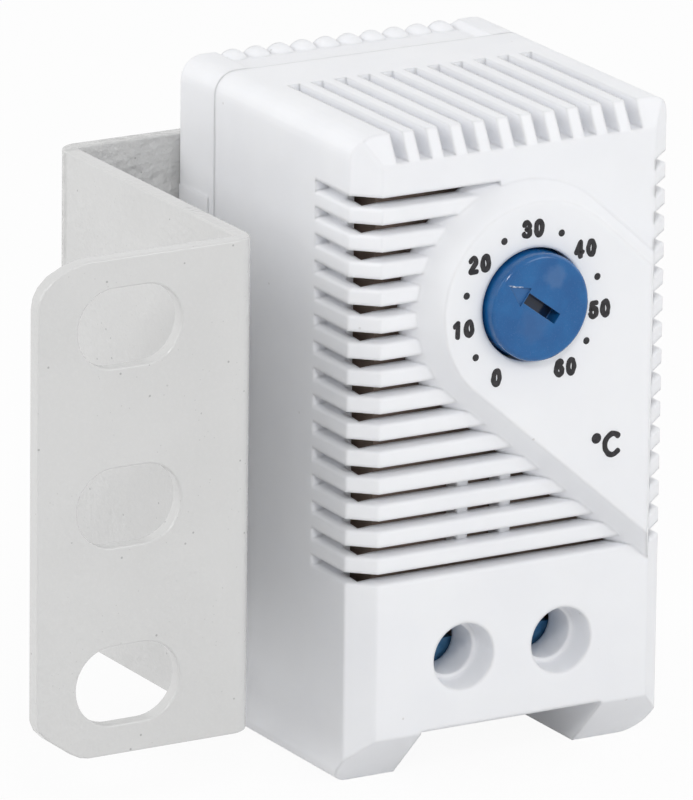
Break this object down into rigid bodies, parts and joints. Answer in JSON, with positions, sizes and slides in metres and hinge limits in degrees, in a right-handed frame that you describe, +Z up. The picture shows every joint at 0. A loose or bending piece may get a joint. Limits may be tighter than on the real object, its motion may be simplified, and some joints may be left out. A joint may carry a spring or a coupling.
{
  "type": "analog thermostat",
  "caption": "Small white enclosure thermostat with a blue setting dial on a drop-shaped boss, wrap-round slats, screw terminals and a slotted steel side bracket.",
  "frame": {"origin": "middle of the whole part's box at the height of the feet", "axes": "+X to the right seen from the dial, +Y from the dial to the rail claws, +Z up"},
  "size_m": [0.0644, 0.0416, 0.0605],
  "materials": {
    "shell_white": "fine eroded texture",
    "base_white": "fine eroded texture",
    "knob_blue": "satin gloss",
    "turned_brass": "turned",
    "frame_brown": "moulded thermoset",
    "plated_steel": "zinc plated",
    "spring_steel": "rolled",
    "bimetal": "rolled, straw tint",
    "soft_iron": "dull",
    "contact_silver": "fine silver",
    "magnet_grey": "sintered",
    "stamped_brass": "stamped sheet",
    "blue_zinc": "blue passivated zinc",
    "cage_zinc": "zinc plated",
    "bracket_grey": "fine textured powder coat"
  },
  "bodies": {
    "housing": {"front_shell": "shell_white", "rear_base": "base_white", "switch_frame": "frame_brown", "pivot_bracket": "plated_steel", "pivot_rivets": "plated_steel", "lever_pin": "plated_steel", "return_leaf": "spring_steel", "fixed_contact": "contact_silver", "snap_magnet": "magnet_grey", "left_bar": "stamped_brass", "right_bar": "stamped_brass", "frame_screws": "plated_steel"},
    "knob": {"adjusting_knob": "knob_blue"},
    "plunger": {"setting_plunger": "turned_brass"},
    "lever": {"setting_lever": "plated_steel", "calibration_screw": "turned_brass", "bimetal_strip": "bimetal", "bimetal_rivets": "plated_steel", "armature_plate": "soft_iron", "moving_contact": "contact_silver"},
    "left_screw": {"left_terminal_screw": "blue_zinc"},
    "right_screw": {"right_terminal_screw": "blue_zinc"},
    "left_cage": {"left_clamp_cage": "cage_zinc"},
    "right_cage": {"right_clamp_cage": "cage_zinc"},
    "bracket": {"mounting_bracket": "bracket_grey"}
  },
  "joints": [
    {"name": "knob_turn", "type": "hinge", "parent": "housing", "child": "knob", "pos_m": [0.01581, -0.01678, 0.0442], "axis": [0, 1, 0], "range_deg": [-96.5, 203.5]},
    {"name": "plunger_travel", "type": "slide", "parent": "housing", "child": "plunger", "axis": [0, 1, 0], "range_m": [-0.000134, 0.0002826]},
    {"name": "lever_swing", "type": "hinge", "parent": "housing", "child": "lever", "pos_m": [0.01581, -0.00777, 0.053], "axis": [1, 0, 0], "range_deg": [-0.88, 1.84]},
    {"name": "left_screw_turn", "type": "hinge", "parent": "housing", "child": "left_screw", "pos_m": [0.01077, -0.00928, 0.01155], "axis": [0, 1, 0], "range_deg": [0, 1297]},
    {"name": "left_cage_lift", "type": "slide", "parent": "housing", "child": "left_cage", "axis": [0, -1, 0], "range_m": [0, 0.0018]},
    {"name": "right_screw_turn", "type": "hinge", "parent": "housing", "child": "right_screw", "pos_m": [0.02087, -0.00928, 0.01155], "axis": [0, 1, 0], "range_deg": [0, 1297]},
    {"name": "right_cage_lift", "type": "slide", "parent": "housing", "child": "right_cage", "axis": [0, -1, 0], "range_m": [0, 0.0018]},
    {"name": "bracket_slide", "type": "slide", "parent": "housing", "child": "bracket", "axis": [1, 0, 0], "range_m": [-0.024, 0]}
  ],
  "couplings": [
    {"joint": "knob_turn", "follows": "plunger_travel", "rad_per_m": 12566},
    {"joint": "lever_swing", "follows": "plunger_travel", "rad_per_m": 113.64},
    {"joint": "left_screw_turn", "follows": "left_cage_lift", "rad_per_m": 12566},
    {"joint": "right_screw_turn", "follows": "right_cage_lift", "rad_per_m": 12566}
  ]
}
